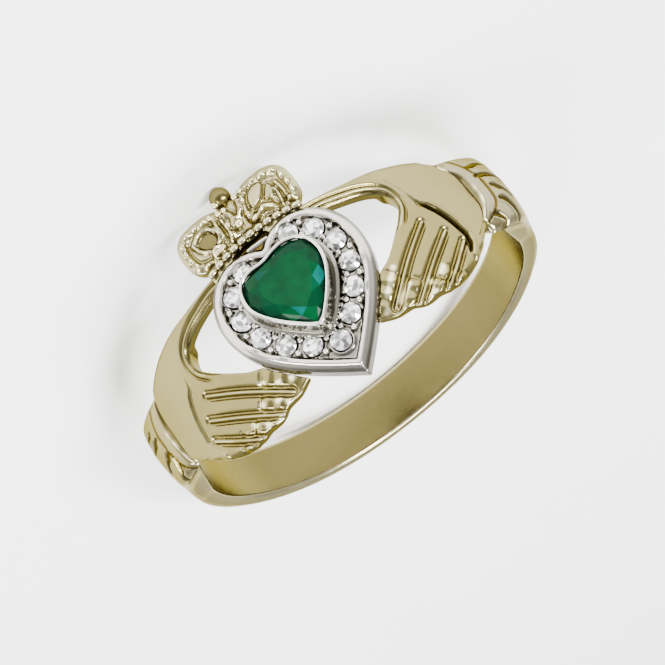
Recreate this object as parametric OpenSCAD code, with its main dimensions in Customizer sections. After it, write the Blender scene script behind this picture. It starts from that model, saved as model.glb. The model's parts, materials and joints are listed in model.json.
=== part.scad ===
// Claddagh ring: two hands hold a crowned heart. The heart is a halo of small
// stones round one heart-cut stone in a tall bezel.
// The ring is shaped in its own axes: x across the head, y along the finger from
// the heart's tip to the crown, z outward from the finger through the head.
// It is then laid on its side, on the crown and the back of the band.
// The origin is the middle of the finger hole. Millimetres and degrees.

/* [Band] */
// Radius of the finger hole
bore_r = 8.65; // [7.5:0.05:10.5]
// Width of the band at its back
band_w = 2.6; // [1.8:0.1:3.4]
// Width of the band at its narrowest, either side of the back
waist_w = 2.4; // [1.6:0.1:3]
// Width of the shoulders at the cuffs
cuff_w = 3.8; // [3:0.1:4]
// Thickness of the band along its middle, at the back
band_t = 0.95; // [0.7:0.05:1.4]
// Thickness of the band at its two edges
edge_t = 0.68; // [0.4:0.02:0.7]
// Thickness of the shoulders at the cuffs
shoulder_t = 1.55; // [1.3:0.05:1.65]

/* [Hands] */
// Height of the hands over the finger hole
hand_t = 1.5; // [1.2:0.05:1.9]
// Distance over the surface from the heart's side to the cuff
cuff_reach = 5.5; // [5:0.1:7]
// Length of the raised band of each cuff
cuff_l = 0.85; // [0.5:0.05:1.4]
// Height of the cuff's band over the shoulder
cuff_rise = 0.1; // [0.05:0.01:0.3]
// Height to which the cuffs flare out behind their bands
flare = 0.24; // [0.1:0.02:0.4]
// Distance from the heart's side to the far end of the window behind the thumb
window_reach = 2.03; // [1.6:0.05:2.4]
// Width of the thumb along the window
thumb_w = 0.64; // [0.5:0.02:0.8]
// Width of each finger
finger_w = 0.82; // [0.7:0.02:0.94]
// Angle of the fingers to the band
finger_slant = 39; // [34:1:44]
// Depth of the engraved cuts behind the cuffs
cut_depth = 0.16; // [0.08:0.01:0.25]

/* [Heart] */
// Width of the halo
halo_w = 6.8; // [6:0.1:7.6]
// Height of the halo's lobes over the finger's cross line
halo_lobe = 2.38; // [2:0.05:2.8]
// Depth of the halo's tip under the finger's cross line
halo_tip = 4.9; // [4.4:0.1:5.6]
// Turn of the heart, its tip towards the right hand
heart_turn = 2.5; // [0:0.5:6]
// Height of the halo's underside over the finger hole
head_lift = 1; // [0.85:0.05:1.3]
// Thickness of the halo from its underside to its rim
halo_t = 1.05; // [0.8:0.05:1.5]
// Width of the sloped edge outside the rim
bevel_w = 0.32; // [0.2:0.02:0.5]
// Depth of the stones' channel under the rim
channel_depth = 0.3; // [0.2:0.02:0.5]
// Width of the heart stone
stone_w = 3.34; // [2.8:0.02:3.8]
// Height of the heart stone's lobes over the finger's cross line
stone_lobe = 0.97; // [0.8:0.01:1.2]
// Depth of the heart stone's tip under the finger's cross line
stone_tip = 2.2; // [1.9:0.05:2.6]
// Height of the bezel over the channel
bezel_h = 1.1; // [0.7:0.05:1.6]
// Thickness of the bezel's wall
bezel_t = 0.22; // [0.15:0.01:0.35]

/* [Small stones] */
// Diameter of each small stone, as a share of the channel's width
melee_share = 1.06; // [0.9:0.01:1.1]
// Small stones on each side of the one at the tip
melee_side = 6; // [5:1:7]

/* [Crown] */
// Width of the crown at its lobes
crown_w = 5.6; // [4.8:0.1:6.4]
// Height of the crown from its foot to the top of its lobes
crown_h = 2.72; // [2.2:0.02:3]
// Thickness of the crown's plate
crown_t = 0.65; // [0.5:0.05:1]
// Diameter of the ball on top
ball_d = 0.92; // [0.6:0.02:1.1]
// Diameter of the beads along the foot
bead_d = 0.5; // [0.36:0.02:0.6]

/* [Fit] */
// Gap at each joint between pieces
seam = 0.02; // [0.01:0.01:0.05]

/* [Hidden] */
melee_count = 2 * melee_side + 1;
function melee_name(i) = str("halo_stone_", i < 10 ? "0" : "", i);
$fn = 96;

gold = [0.80, 0.74, 0.55];
white_metal = [0.86, 0.86, 0.87];
green = [0.05, 0.42, 0.24];
clear_stone = [0.93, 0.95, 0.97];

hand_r = bore_r + hand_t;
band_r = bore_r + band_t;
halo_r = halo_w / 2;
halo_foot = bore_r + head_lift;
halo_rim = halo_foot + halo_t;
channel_z = halo_rim - channel_depth;
bezel_z = channel_z + bezel_h;
crown_foot = halo_lobe - 0.2;
crown_top = crown_foot + crown_h;
crown_z = halo_foot + 0.05;
crown_face = crown_z + crown_t;
ball_y = crown_top + 0.03;
ball_z = crown_z + ball_d / 2;
cuff_u = halo_r + cuff_reach;

// The ring leans on the ball of its crown and on the edge of the band's back.
ball_out = ball_y + ball_d / 2;
lean = atan((ball_out - band_w / 2) / (ball_z + band_r));

function lerp(a, b, t) = a + (b - a) * t;
function unit(v) = v / norm(v);
function turned(p, a) = [p[0] * cos(a) - p[1] * sin(a), p[0] * sin(a) + p[1] * cos(a)];

// A point on the hands' surface: u along the band from the head's middle, a along the
// finger, r from the finger's axis.
function surface_angle(u) = u / hand_r * 180 / PI;
function wrap(u, a, r) = [r * sin(surface_angle(u)), a, r * cos(surface_angle(u))];

// Rings of points joined into one closed solid. Each ring ends with its two inner corners.
module loft(rings) {
    n = len(rings[0]);
    last = (len(rings) - 1) * n;
    sides = [for (i = [0 : len(rings) - 2], j = [0 : n - 1])
        let (a = i * n + j, b = i * n + (j + 1) % n)
        each [[a, b + n, b], [a, a + n, b + n]]];
    start = [for (j = [0 : n - 3]) [n - 1, j, j + 1]];
    end = [for (j = [0 : n - 3]) [last + n - 1, last + j + 1, last + j]];
    polyhedron([for (ring = rings) each ring], concat(sides, start, end), convexity = 6);
}

// One section of a hand: points (u, a, r) along its top, then two feet under its ends. Feet
// that lie in the finger hole are cut off by it.
function section(tops, feet) = [for (p = concat(tops, feet)) wrap(p[0], p[1], p[2])];

// A foot straight under a point as seen from in front of the head, not towards the finger's
// axis, so that the windows' walls don't narrow them.
function under(p, r) = [asin(min(p[2] * sin(surface_angle(p[0])) / r, 0.99)) / 180 * PI * hand_r, p[1], r];

// Heart outlines. k is 1 for a straight sharp tip and more for a blunt one.
heart_n = 14;
function heart_half(w, lobe, tip, mid, k) = let (c = 0.37 * w, start = acos(-c / (w - c))) concat(
    [for (i = [0 : heart_n])
        let (angle = start * (1 - i / heart_n))
        [c + (w - c) * cos(angle), mid + (lobe - mid) * sin(angle)]],
    [for (i = [1 : heart_n])
        let (s = i / heart_n)
        [i == heart_n ? 0 : w * cos(90 * pow(s, k)), mid - (tip + mid) * s]]);
function heart(half) = concat(half,
    [for (i = [len(half) - 2 : -1 : 1]) [-half[i][0], half[i][1]]]);

// Outlines between the halo's outer edge, share 0, and the heart stone's edge, share 1.
halo_mid = -0.05;
stone_mid = 0.1;
halo_point = 1.07;
stone_point = 1.45;
function outline(share) = [for (p = heart(heart_half(
    lerp(halo_r, stone_w / 2, share), lerp(halo_lobe, stone_lobe, share),
    lerp(halo_tip, stone_tip, share), lerp(halo_mid, stone_mid, share),
    lerp(halo_point, stone_point, share)))) turned(p, heart_turn)];
ring_span = halo_r - stone_w / 2;
function inset(distance) = outline(distance / ring_span);

// Where the band's sides run, seen along x.
// Columns: height as a share of the band's radius, width, from the narrowest, 0, to the cuffs', 1.
flank_rows = [[0.1, 0.1], [0.3, 0.42], [0.45, 0.8], [0.56, 1], [1, 1]];
function flank_upper() = concat(
    [[-band_r - 1, band_w / 2], [-0.9 * band_r, band_w / 2], [-0.4 * band_r, waist_w / 2]],
    [for (row = flank_rows) [row[0] * band_r, lerp(waist_w, cuff_w, row[1]) / 2]]);
module flanks() {
    upper = flank_upper();
    lower = [for (i = [len(upper) - 1 : -1 : 0]) [upper[i][0], -upper[i][1]]];
    rotate([0, -90, 0])
        linear_extrude(4 * band_r, center = true) polygon(concat(upper, lower));
}

// A domed disc about the finger. Its middle lies towards the head by the given shift.
module disc(radius, shift, facets = 180) {
    half = cuff_w / 2 + 0.1;
    steps = 6;
    dome = [for (i = [0 : steps])
        let (v = 2 * i / steps - 1) [radius - (band_t - edge_t) * v * v, v * half]];
    translate([0, 0, shift]) rotate([90, 0, 0])
        rotate_extrude($fn = facets) polygon(concat([[0, -half]], dome, [[0, half]]));
}

// A slice round the finger, from one angle to another from the head.
module sector(from, to) {
    steps = ceil((to - from) / 60);
    rotate([90, 0, 0]) linear_extrude(4 * cuff_w, center = true)
        polygon(concat([[0, 0]], [for (i = [0 : steps])
            let (angle = lerp(from, to, i / steps)) 3 * band_r * [sin(angle), cos(angle)]]));
}

// The back of the hand and its four fingers are one fan of lines that start at the cuff, turn
// at the knuckles and end at the fingertips. Places are distances over the surface.
knuckle = [halo_r + window_reach + 0.28, -0.34 * halo_lobe];
finger_way = [-cos(finger_slant), -sin(finger_slant)];
finger_side = [-sin(finger_slant), cos(finger_slant)];
finger_count = 4;
// Columns: reach past the knuckles in finger widths, little finger first.
finger_reach = [3.25, 4.25, 5.1, 5.8];
per_finger = 4;
columns = finger_count * per_finger;
function finger_part(j) = (j % per_finger) / per_finger;
function bulge(j) = sin(180 * finger_part(j));
function reach(j) = let (one = floor(j / per_finger), left = max(one - 1, 0), right = min(one, finger_count - 1))
    (finger_part(j) == 0 ? min(finger_reach[left], finger_reach[right]) - 0.3
                         : finger_reach[one] - 0.35 * (1 - bulge(j))) * finger_w;
function cuff_point(j) = [cuff_u + 0.3, cuff_w * lerp(-0.48, 0.46, j / columns)];
function knuckle_point(j) = knuckle + finger_side * finger_w * (j / per_finger - 2.76);
function tip_point(j) = knuckle_point(j) + finger_way * reach(j)
    + finger_side * finger_w * 0.2 * (1 - 2 * j / columns);
// Columns: share of the way, 0 at the cuff, 1 at the knuckles, 2 at the tips; height over the
// finger hole and depth of the grooves between the fingers, as shares of the hand's height.
fan_rows = [
    [0, 1.0, 0], [0.15, 1.05, 0], [0.5, 1.07, 0], [0.8, 1.03, 0], [0.92, 0.96, 0.04],
    [1.1, 0.99, 0.16], [1.4, 1.0, 0.2], [1.7, 0.97, 0.2], [1.88, 0.92, 0.2], [2, 0.7, 0.12]];
function fan_point(share, j) = share < 1
    ? lerp(cuff_point(j), knuckle_point(j), share)
    : lerp(knuckle_point(j), tip_point(j), share - 1);
function fan_tops(row) = [for (j = [0 : columns])
    let (p = fan_point(row[0], j), edge = 1 - pow(abs(2 * j / columns - 1), 4))
    [p[0], p[1], bore_r + hand_t * (row[1] - 0.22 * (1 - edge) - row[2] * (1 - bulge(j)) * edge)]];
palm_foot = bore_r - 0.3;
module palm_and_fingers() {
    loft([for (row = fan_rows) section(
        fan_tops(row), [under(fan_tops(row)[columns], palm_foot),
                        concat(fan_point(row[0], 0), [palm_foot])])]);
}

// The thumb goes round the window to the heart's lobe. Columns: distance from the heart's side
// as a share of the window's length, place up the ring as a share of the halo's lobe, width
// as a share of the thumb's, height and the underside's height as shares of the hand's.
thumb_rows = [
    [2.46, 0.34, 3.10, 1.00, -0.33],
    [2.02, 0.46, 3.10, 1.04, -0.33],
    [1.53, 0.53, 3.30, 1.06, -0.33],
    [1.22, 0.59, 3.00, 1.04, -0.33],
    [1.00, 0.71, 2.20, 1.02, -0.2],
    [0.79, 0.80, 1.60, 1.01, 0.2],
    [0.52, 0.84, 1.40, 1.00, 0.3],
    [0.08, 0.87, 1.25, 0.98, 0.3],
    [-0.48, 0.96, 0.86, 0.94, 0.3]];
thumb_steps = 6;
module thumb() {
    places = [for (row = thumb_rows) [halo_r + row[0] * window_reach, row[1] * halo_lobe]];
    last = len(places) - 1;
    loft([for (i = [0 : last])
        let (row = thumb_rows[i], way = unit(places[min(i + 1, last)] - places[max(i - 1, 0)]),
             half = row[2] * thumb_w / 2, top = bore_r + row[3] * hand_t,
             tops = [for (k = [0 : thumb_steps])
                 let (v = 1 - 2 * k / thumb_steps, p = places[i] + [-way[1], way[0]] * half * v)
                 [p[0], p[1], top - 0.7 * min(half, 0.4) * (1 - sqrt(1 - v * v))]],
             inner = under(tops[0], bore_r + row[4] * hand_t),
             outer = under(tops[thumb_steps], bore_r + row[4] * hand_t))
        section(tops, [outer + [0, -0.1, 0], inner + [0, 0.4, 0]])]);
}

// Engraved cuts behind the cuff: distance past the cuff and place across, as shares.
cut_rows = [-0.36, -0.12, 0.12, 0.36];
module engraved_cuts() {
    for (place = cut_rows) {
        rotate([0, surface_angle(cuff_u + cuff_l + 1.1), 0])
            translate([0, place * cuff_w, bore_r + shoulder_t + flare])
            rotate([0, 0, 24])
            cube([1.2, 0.13, 2 * cut_depth], center = true);
    }
}

module finger_hole(wider) {
    rotate([90, 0, 0]) cylinder(r = bore_r + wider, h = 20, center = true);
}

// The outline of the halo, or one set in from it, cut straight through the head.
module heart_block(distance, from, to) {
    translate([0, 0, from]) linear_extrude(to - from) polygon(inset(distance));
}

module hand() {
    difference() {
        union() {
            palm_and_fingers();
            thumb();
        }
        heart_block(-seam, bore_r - 2, bore_r + 4);
    }
}

// The shoulders swell from the band on a circle of their own, up to the cuffs.
cuff_angle = surface_angle(cuff_u + 0.12);
shoulder_shift = 1.1;
cuff_at = (bore_r + shoulder_t) * [sin(cuff_angle), cos(cuff_angle)];
shoulder_r = norm(cuff_at - [0, shoulder_shift]);

function shoulder_at(angle) = shoulder_shift * cos(angle)
    + sqrt(pow(shoulder_r, 2) - pow(shoulder_shift * sin(angle), 2));

// Behind the cuffs' front the shoulders flare out, on a circle through a place just over the
// cuff's front, the flare's peak and the place where it has run out. Angles past the front.
flare_foot = 0.06;
flare_peak = 9.2;
flare_end = 23;
function polar(r, angle) = r * [sin(angle), cos(angle)];
function circle_through(a, b, c) =
    let (d = 2 * (a[0] * (b[1] - c[1]) + b[0] * (c[1] - a[1]) + c[0] * (a[1] - b[1])),
         across = (a * a) * (b[1] - c[1]) + (b * b) * (c[1] - a[1]) + (c * c) * (a[1] - b[1]),
         out = (a * a) * (c[0] - b[0]) + (b * b) * (a[0] - c[0]) + (c * c) * (b[0] - a[0]))
    [across / d, out / d];
flare_from = polar(bore_r + shoulder_t + flare_foot, cuff_angle);
flare_centre = circle_through(
    flare_from,
    polar(bore_r + shoulder_t + flare, cuff_angle + flare_peak),
    polar(shoulder_at(cuff_angle + flare_end), cuff_angle + flare_end));
flare_r = norm(flare_from - flare_centre);
module flare_disc(rise) {
    translate([flare_centre[0], 0, 0]) disc(flare_r + rise, flare_centre[1], 72);
}

module shank() {
    from = surface_angle(cuff_u - 0.3);
    difference() {
        intersection() {
            union() {
                disc(band_r, 0);
                disc(shoulder_r, shoulder_shift);
                both_sides() flare_disc(0);
            }
            flanks();
        }
        sector(-from, from);
    }
}

module cuff() {
    difference() {
        intersection() {
            flare_disc(cuff_rise);
            flanks();
            sector(cuff_angle, cuff_angle + surface_angle(cuff_l));
        }
        finger_hole(0.5 * edge_t);
    }
}

module both_sides() {
    children();
    mirror([1, 0, 0]) children();
}

module laid() {
    rotate([lean - 90, 0, 180]) children();
}

module band() {
    color(gold) laid() difference() {
        union() {
            difference() {
                shank();
                both_sides() engraved_cuts();
            }
            both_sides() cuff();
            both_sides() hand();
        }
        finger_hole(0);
    }
}

// The halo and the bezel are one wall of heart outlines that closes on itself. Columns:
// distance in from the halo's edge, height.
bezel_out = ring_span - bezel_t;
channel_in = bevel_w + 0.2;
channel_out = bezel_out - 0.12;
wall_rows = [
    [0.25, halo_foot],
    [0, halo_foot + 0.12],
    [0, halo_rim - bevel_w],
    [bevel_w, halo_rim],
    [bevel_w + 0.12, halo_rim],
    [channel_in, channel_z],
    [channel_out, channel_z],
    [bezel_out - 0.05, channel_z + 0.25 * bezel_h],
    [bezel_out, bezel_z - 0.1],
    [bezel_out + 0.08, bezel_z],
    [ring_span - 0.02, bezel_z],
    [ring_span + seam, bezel_z - 0.12],
    [ring_span + seam, bezel_z - 0.5],
    [ring_span + 0.35, bezel_z - 0.75],
    [ring_span + 0.35, halo_foot]];
module closed_wall(rings) {
    n = len(rings[0]);
    m = len(rings);
    polyhedron([for (ring = rings) each ring],
        [for (i = [0 : m - 1], j = [0 : n - 1])
            let (a = i * n + j, b = i * n + (j + 1) % n,
                 c = ((i + 1) % m) * n + j, d = ((i + 1) % m) * n + (j + 1) % n)
            each [[a, b, d], [a, d, c]]], convexity = 8);
}

// Where the small stones sit: the one at the tip first, then pairs up the two sides.
melee_inset = (channel_in + channel_out) / 2;
function path_length(points) = len(points) < 2 ? 0
    : norm(points[1] - points[0]) + path_length([for (i = [1 : len(points) - 1]) points[i]]);
function along(points, distance) =
    let (step = norm(points[1] - points[0]))
    distance <= step || len(points) == 2 ? lerp(points[0], points[1], distance / step)
        : along([for (i = [1 : len(points) - 1]) points[i]], distance - step);
channel_line = inset(melee_inset);
tip_at = 2 * heart_n;
tip_back = 0.12;
function side_line(side) = [for (i = [0 : 2 * heart_n - 1])
    channel_line[(tip_at + side * i + len(channel_line)) % len(channel_line)]];
side_l = path_length(side_line(1));
melee_pitch = (side_l - tip_back - 0.55) / (melee_side + 0.25);
function melee_at(i) = i == 1
    ? lerp(channel_line[tip_at], channel_line[0], tip_back / norm(channel_line[tip_at] - channel_line[0]))
    : along(side_line(i % 2 == 0 ? 1 : -1), tip_back + melee_pitch * floor(i / 2));

melee_d = min(melee_share * (channel_out - channel_in), melee_pitch - 2 * seam);
melee_girdle = channel_z + 0.2;
module melee_seats() {
    for (i = [1 : melee_count])
        translate([melee_at(i)[0], melee_at(i)[1], halo_foot - 0.2])
            cylinder(d = melee_d * 0.72, h = halo_t + 0.4, $fn = 32);
}

module heart_setting() {
    color(white_metal) laid() difference() {
        closed_wall([for (row = wall_rows) [for (p = inset(row[0])) [p[0], p[1], row[1]]]]);
        melee_seats();
    }
}

// A stone from rings of points, table first, closed at its culet or keel.
module cut_stone(rings) {
    n = len(rings[0]);
    m = len(rings);
    polyhedron([for (ring = rings) each ring], concat(
        [for (i = [0 : m - 2], j = [0 : n - 1])
            let (a = i * n + j, b = i * n + (j + 1) % n)
            each [[a, b, b + n], [a, b + n, a + n]]],
        [[for (j = [n - 1 : -1 : 0]) j], [for (j = [0 : n - 1]) (m - 1) * n + j]]), convexity = 4);
}

// Columns: size as a share of the girdle's, height over the girdle.
stone_rows = [[0.66, 0.42], [0.86, 0.28], [1, 0.03], [1, -0.03], [0.72, -0.55], [0.38, -0.95], [0.04, -1.2]];
stone_centre = turned([0, (stone_lobe - stone_tip) / 2 + 0.15], heart_turn);
stone_depth = 0.3 * stone_w;
function facet_ring(points, share, height) = [for (p = points)
    let (q = lerp(stone_centre, p, share)) [q[0], q[1], height]];
module heart_stone() {
    girdle = inset(ring_span + seam * 2);
    corners = [for (i = [len(girdle) - 2 : -2 : 0]) girdle[i]];
    color(green) laid() cut_stone([for (row = stone_rows)
        facet_ring(corners, row[0], bezel_z - 0.2 + row[1] * stone_depth)]);
}

melee_rows = [[0.55, 0.13], [1, 0.015], [1, -0.015], [0.06, -0.42]];
module small_stone(i) {
    place = melee_at(i);
    color(clear_stone) laid() translate([place[0], place[1], melee_girdle])
        cut_stone([for (row = melee_rows)
            [for (j = [0 : 7]) [for (v = [cos(45 * j + 22.5), sin(45 * j + 22.5)]) v * row[0] * melee_d / 2, row[1] * melee_d]]]);
}

// The crown stands on the heart's lobes.
lobe_x = 0.275 * crown_w;
lobe_rx = crown_w / 2 - lobe_x;
lobe_ry = 0.94 * lobe_rx;
lobe_y = crown_top - lobe_ry;
function oval(x, y, rx, ry, power) = [for (i = [0 : 27])
    let (a = 360 * i / 28)
    [x + rx * sign(cos(a)) * pow(abs(cos(a)), power), y + ry * sign(sin(a)) * pow(abs(sin(a)), power)]];
function foot_arch(x) = 0.3 * (1 - pow(2 * x / crown_w, 2));
bead_count = 7;
module crown_plate() {
    foot_w = 0.84 * crown_w;
    edge = [for (i = [0 : 12]) let (x = foot_w * (i / 12 - 0.5)) [x, crown_foot + foot_arch(x)]];
    translate([0, 0, crown_z]) linear_extrude(crown_t) polygon(concat(edge,
        [for (i = [12 : -1 : 0]) [edge[i][0], edge[i][1] + 0.75]]));
    for (side = [-1, 1])
        translate([0, 0, crown_z]) linear_extrude(crown_t - 0.1)
            polygon(oval(side * lobe_x, lobe_y, lobe_rx, lobe_ry, 0.75));
    translate([0, 0, crown_z]) linear_extrude(crown_t + 0.12)
        polygon(oval(0, lobe_y, 0.55, 1.1, 0.9));
}
module crown_rims() {
    for (side = [-1, 1])
        translate([0, 0, crown_face - 0.2]) linear_extrude(0.35) difference() {
            polygon(oval(side * lobe_x, lobe_y, lobe_rx - 0.06, lobe_ry - 0.06, 0.75));
            polygon(oval(side * lobe_x, lobe_y, lobe_rx - 0.38, lobe_ry - 0.38, 0.8));
        }
}
module crown_beads() {
    pitch = 0.7 * crown_w / (bead_count - 1);
    for (i = [0 : bead_count - 1]) {
        x = (i - (bead_count - 1) / 2) * pitch;
        translate([x, crown_foot + foot_arch(x) + 0.28, crown_face]) sphere(d = bead_d, $fn = 24);
    }
    translate([0, ball_y, ball_z]) sphere(d = ball_d, $fn = 32);
}
module crown() {
    color(gold) laid() difference() {
        union() {
            crown_plate();
            crown_rims();
            crown_beads();
        }
        heart_block(-seam, bore_r, bore_r + 4);
    }
}

band();
crown();
heart_setting();
heart_stone();
for (i = [1 : melee_count])
    small_stone(i);
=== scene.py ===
"""Claddagh ring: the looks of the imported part.

Ring axes, in millimetres: x across the head, y along the finger from the heart's tip to the
crown, z outward from the finger through the head. placed() lays them as the part lies.
"""
import json
import math

import bpy
import numpy as np
from mathutils import Matrix, Vector


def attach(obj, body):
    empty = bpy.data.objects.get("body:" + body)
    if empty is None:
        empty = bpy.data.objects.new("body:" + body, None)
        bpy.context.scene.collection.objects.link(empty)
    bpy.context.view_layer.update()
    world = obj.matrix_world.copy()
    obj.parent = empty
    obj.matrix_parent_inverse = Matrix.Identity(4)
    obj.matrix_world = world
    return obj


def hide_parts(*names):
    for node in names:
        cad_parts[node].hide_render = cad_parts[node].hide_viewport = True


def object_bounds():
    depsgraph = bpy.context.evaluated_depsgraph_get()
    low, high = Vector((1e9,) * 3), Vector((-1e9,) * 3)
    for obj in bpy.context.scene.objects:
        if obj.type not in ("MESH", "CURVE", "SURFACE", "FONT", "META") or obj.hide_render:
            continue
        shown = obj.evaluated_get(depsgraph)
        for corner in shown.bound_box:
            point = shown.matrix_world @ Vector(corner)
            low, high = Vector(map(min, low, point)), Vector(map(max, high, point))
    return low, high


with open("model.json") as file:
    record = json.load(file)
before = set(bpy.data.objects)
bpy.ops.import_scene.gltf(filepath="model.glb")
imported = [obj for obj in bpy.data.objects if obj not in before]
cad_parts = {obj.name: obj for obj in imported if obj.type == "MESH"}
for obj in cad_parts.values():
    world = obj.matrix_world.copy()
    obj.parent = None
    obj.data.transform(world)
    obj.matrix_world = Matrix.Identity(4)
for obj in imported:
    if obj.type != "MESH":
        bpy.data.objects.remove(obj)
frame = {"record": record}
cad_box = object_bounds()

# The part's own sizes, in millimetres and degrees. Radii and heights are from the finger hole's middle,
# and the tops of the hands and the cuffs from its edge.
BORE_R = 8.65
BAND_R = 9.6
HAND_R = 10.15
HAND_TOP = 1.52
DOME = 0.27
SHOULDER_SHIFT = 1.1
CUFF_ANGLE = 50.92
CUFF_TOP = 1.55
CUFF_RISE = 0.1
# Half width of a heart outline and its reach to the lobes and to the tip: the halo's, the stone's
HALO_W, HALO_LOBE, HALO_TIP = 3.4, 2.38, 4.9
STONE_W, STONE_LOBE, STONE_TIP = 1.67, 0.97, 2.2
HEART_TURN = math.radians(2.5)
RING_SPAN = HALO_W - STONE_W
HALO_FOOT, HALO_RIM, CHANNEL, BEZEL_TOP = 9.65, 10.7, 10.4, 11.5
CHANNEL_INSET, CHANNEL_EDGE, BEZEL_T = 0.52, 0.12, 0.22
CROWN_FOOT, CROWN_TOP, CROWN_BACK, CROWN_FACE = 2.18, 4.90, 9.7, 10.35
# The small stones: across, how many up each side, how far the first is from the tip, the room at the end
MELEE_D, MELEE_SIDE, TIP_BACK, LOBE_END = 0.92, 6, 0.12, 0.55

leave = frame["record"]["mounts"][0]["axis"]
SIN, COS = -leave[1], -leave[2]


def placed(points):
    """Ring axes in millimetres to the part's own place in metres."""
    p = np.asarray(points, float)
    return np.stack([-p[..., 0],
                     -SIN * p[..., 1] - COS * p[..., 2],
                     -COS * p[..., 1] + SIN * p[..., 2]], -1) * 0.001


# Shapes as fields of distances


def smooth(low, high, x):
    """From nought at low to one at high, without a kink."""
    t = np.clip((x - low) / (high - low), 0, 1)
    return t * t * (3 - 2 * t)


def bump(x, middle, width):
    """A rounded hump of height one."""
    return np.exp(-((x - middle) / width) ** 2)


def smax(a, b, k):
    """The larger of two distances, with a fillet of size k where they are alike."""
    h = np.clip(0.5 + 0.5 * (a - b) / k, 0, 1)
    return b + (a - b) * h + k * h * (1 - h)


def smin(a, b, k):
    """The smaller of two distances, with a fillet."""
    return -smax(-a, -b, k)


def path_distance(points, x, y, least=0):
    """Distance to an open path. least keeps a step without length from dividing by nought."""
    best = np.full(x.shape, 1e9)
    for (ax, ay), (bx, by) in zip(points[:-1], points[1:]):
        ex, ey = bx - ax, by - ay
        wx, wy = x - ax, y - ay
        t = np.clip((wx * ex + wy * ey) / (ex * ex + ey * ey + least), 0, 1)
        best = np.minimum(best, (wx - ex * t) ** 2 + (wy - ey * t) ** 2)
    return np.sqrt(best)


def polygon_distance(points, x, y):
    """Distance to a closed outline, negative inside."""
    p = np.vstack([points, points[:1]])
    inside = np.zeros(x.shape, bool)
    for (ax, ay), (bx, by) in zip(p[:-1], p[1:]):
        if ay != by:
            inside ^= ((ay > y) != (by > y)) & (x < (bx - ax) * (y - ay) / (by - ay) + ax)
    return np.where(inside, -1, 1) * path_distance(p, x, y, 1e-12)


def curve(points, closed=False, times=3):
    """A path through points with its corners rounded."""
    p = np.asarray(points, float)
    for _ in range(times):
        q = np.roll(p, -1, 0)
        cut = np.stack([0.75 * p + 0.25 * q, 0.25 * p + 0.75 * q], 1).reshape(-1, p.shape[1])
        p = cut if closed else np.vstack([p[:1], cut[1:-3], p[-1:]])
    return p


def sample(values, axes, x, y):
    """Values of a flat grid at points."""
    steps = [a[1] - a[0] for a in axes]
    fx = np.clip((x - axes[0][0]) / steps[0], 0, len(axes[0]) - 1.001)
    fy = np.clip((y - axes[1][0]) / steps[1], 0, len(axes[1]) - 1.001)
    i, j = fx.astype(int), fy.astype(int)
    s, t = fx - i, fy - j
    return ((values[i, j] * (1 - s) + values[i + 1, j] * s) * (1 - t)
            + (values[i, j + 1] * (1 - s) + values[i + 1, j + 1] * s) * t)


def axes_of(low, high, step):
    """The places of a grid's points along each of its axes."""
    return [np.arange(a, b + step, step) for a, b in zip(low, high)]


def surface(field, axes):
    """The surface where a field of distances is nought: points in the axes' units, and quads."""
    inside = field < 0
    cells = tuple(n - 1 for n in field.shape)
    total = np.zeros(cells + (3,))
    count = np.zeros(cells)
    crossings = []
    for axis in range(3):
        b, c = [k for k in range(3) if k != axis]
        low = [slice(None)] * 3
        high = [slice(None)] * 3
        low[axis], high[axis] = slice(0, -1), slice(1, None)
        f0, f1 = field[tuple(low)], field[tuple(high)]
        cross = inside[tuple(low)] != inside[tuple(high)]
        t = np.where(cross, f0 / np.where(cross, f0 - f1, 1), 0)
        crossings.append(cross)
        for db in (0, 1):
            for dc in (0, 1):
                part = [slice(None)] * 3
                part[b] = slice(db, field.shape[b] - 1 + db)
                part[c] = slice(dc, field.shape[c] - 1 + dc)
                m = cross[tuple(part)]
                count += m
                total[..., axis] += t[tuple(part)]
                total[..., b] += m * db
                total[..., c] += m * dc
    active = count > 0
    index = np.full(cells, -1)
    index[active] = np.arange(active.sum())
    places = np.argwhere(active) + total[active] / count[active][:, None]
    origin = np.array([a[0] for a in axes])
    steps = np.array([a[1] - a[0] for a in axes])
    quads = []
    for axis in range(3):
        cross = np.moveaxis(crossings[axis], axis, 0)[:, 1:-1, 1:-1]
        start = np.moveaxis(inside, axis, 0)[:-1, 1:-1, 1:-1]
        ids = np.moveaxis(index, axis, 0)
        around = np.stack([ids[:, :-1, :-1], ids[:, 1:, :-1], ids[:, 1:, 1:], ids[:, :-1, 1:]], -1)
        outward = start if axis != 1 else ~start
        quads.append(around[cross & outward])
        quads.append(around[cross & ~outward][:, ::-1])
    return origin + places * steps, np.vstack(quads)


def hollows(points, quads, rounds=3):
    """How deep each point lies in a groove, in millimetres. Negative on a ridge."""
    a, b = quads.ravel(), np.roll(quads, -1, 1).ravel()
    n = len(points)
    ends = np.concatenate([a, b])
    others = np.concatenate([b, a])
    count = np.bincount(ends, minlength=n) + 1e-9

    def mean(values):
        return np.bincount(ends, values[others], n) / count

    middle = np.stack([mean(points[:, k]) for k in range(3)], 1)
    p = points[quads]
    normal = np.cross(p[:, 2] - p[:, 0], p[:, 3] - p[:, 1])
    normals = np.stack([np.bincount(quads.ravel(), np.repeat(normal[:, k], 4), n)
                        for k in range(3)], 1)
    normals /= np.linalg.norm(normals, axis=1)[:, None] + 1e-12
    depth = ((middle - points) * normals).sum(1)
    for _ in range(rounds):
        depth = 0.4 * depth + 0.6 * mean(depth)
    return depth


# Materials


def material(name, metal, color, roughness):
    """A new material, with its tree and its shader."""
    m = bpy.data.materials.new(name)
    m.use_nodes = True
    shader = m.node_tree.nodes["Principled BSDF"]
    shader.inputs["Metallic"].default_value = metal
    shader.inputs["Base Color"].default_value = (*color, 1)
    shader.inputs["Roughness"].default_value = roughness
    return m, m.node_tree, shader


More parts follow.
